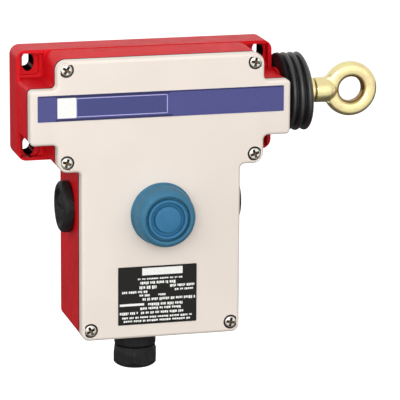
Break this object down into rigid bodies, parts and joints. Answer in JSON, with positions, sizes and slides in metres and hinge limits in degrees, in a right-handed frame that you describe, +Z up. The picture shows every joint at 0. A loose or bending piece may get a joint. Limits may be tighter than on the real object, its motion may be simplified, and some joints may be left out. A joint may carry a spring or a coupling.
{
  "type": "rope pull switch",
  "caption": "Wall-mounted rope pull switch: red T-shaped casting, pale screwed cover, ribbed bellows with a rope eye at one end, booted reset button, plugged cable entries and a gland.",
  "frame": {"origin": "centre of the four wall slots, on the back face that rests on the wall", "axes": "+X along the rope axis towards the eye, +Y into the wall, +Z up; the cover faces -Y"},
  "size_m": [0.23, 0.0802, 0.2032],
  "materials": {
    "red_paint": "satin paint on a die casting",
    "ivory_paint": "smooth satin paint",
    "plated_steel": "zinc plated, satin",
    "grey_steel": "machined, oiled",
    "spring_steel": "drawn wire",
    "yellow_zinc": "yellow passivated zinc on forged steel",
    "bronze": "sintered bearing bronze",
    "terminal_brass": "bright brass",
    "black_nylon": "moulded, matt",
    "dark_moulding": "moulded, matt",
    "white_acetal": "moulded, smooth",
    "black_rubber": "moulded, satin",
    "blue_rubber": "moulded silicone, satin",
    "blue_cap": "moulded, satin",
    "band_film": "printed film",
    "label_film": "printed film"
  },
  "bodies": {
    "switch_body": {"housing": "red_paint", "cover_gasket": "black_rubber", "front_cover": "ivory_paint", "cover_screws": "plated_steel", "blue_band": "band_film", "rating_label": "label_film", "left_entry_plug": "black_nylon", "right_entry_plug": "black_nylon", "plug_seals": "black_rubber", "gland_body": "black_nylon", "gland_washer": "black_rubber", "gland_seal": "black_rubber", "gland_nut": "black_nylon", "guide_bush": "bronze", "bellows": "black_rubber", "main_spring": "spring_steel", "latch_frame": "plated_steel", "latch_frame_screws": "plated_steel", "latch_pin": "plated_steel", "latch_spring": "spring_steel", "contact_block": "dark_moulding", "block_screws": "plated_steel", "terminal_screws": "terminal_brass", "earth_screw": "terminal_brass", "reset_body": "dark_moulding", "reset_nut": "grey_steel", "reset_boot": "blue_rubber", "reset_spring": "spring_steel"},
    "pull_head": {"pull_rod": "plated_steel", "cam_sleeve": "grey_steel", "rod_clip": "grey_steel", "spring_washer": "plated_steel", "eye_ferrule": "yellow_zinc", "eye": "yellow_zinc"},
    "reset_button": {"reset_cap": "blue_cap", "reset_plunger": "plated_steel"},
    "latch_arm": {"latch_lever": "grey_steel"},
    "contact_slider": {"contact_plunger": "white_acetal"}
  },
  "joints": [
    {"name": "rope_pull", "type": "slide", "parent": "switch_body", "child": "pull_head", "axis": [1, 0, 0], "range_m": [0, 0.014], "stiffness_N_per_m": 3000, "deforming": ["bellows", "main_spring"]},
    {"name": "reset_press", "type": "slide", "parent": "switch_body", "child": "reset_button", "axis": [0, 1, 0], "range_m": [0, 0.004], "stiffness_N_per_m": 600, "deforming": ["reset_boot", "reset_spring"]},
    {"name": "latch_pivot", "type": "hinge", "parent": "switch_body", "child": "latch_arm", "pos_m": [0, -0.046, -0.031], "axis": [1, 0, 0], "range_deg": [0, 7.5], "deforming": ["latch_spring"]},
    {"name": "contact_slide", "type": "slide", "parent": "switch_body", "child": "contact_slider", "axis": [0, 0, 1], "range_m": [0, 0.0035]}
  ],
  "couplings": [
    {"joint": "latch_pivot", "follows": "reset_press", "rad_per_m": 32},
    {"joint": "contact_slide", "follows": "rope_pull", "ratio": 0.25}
  ]
}
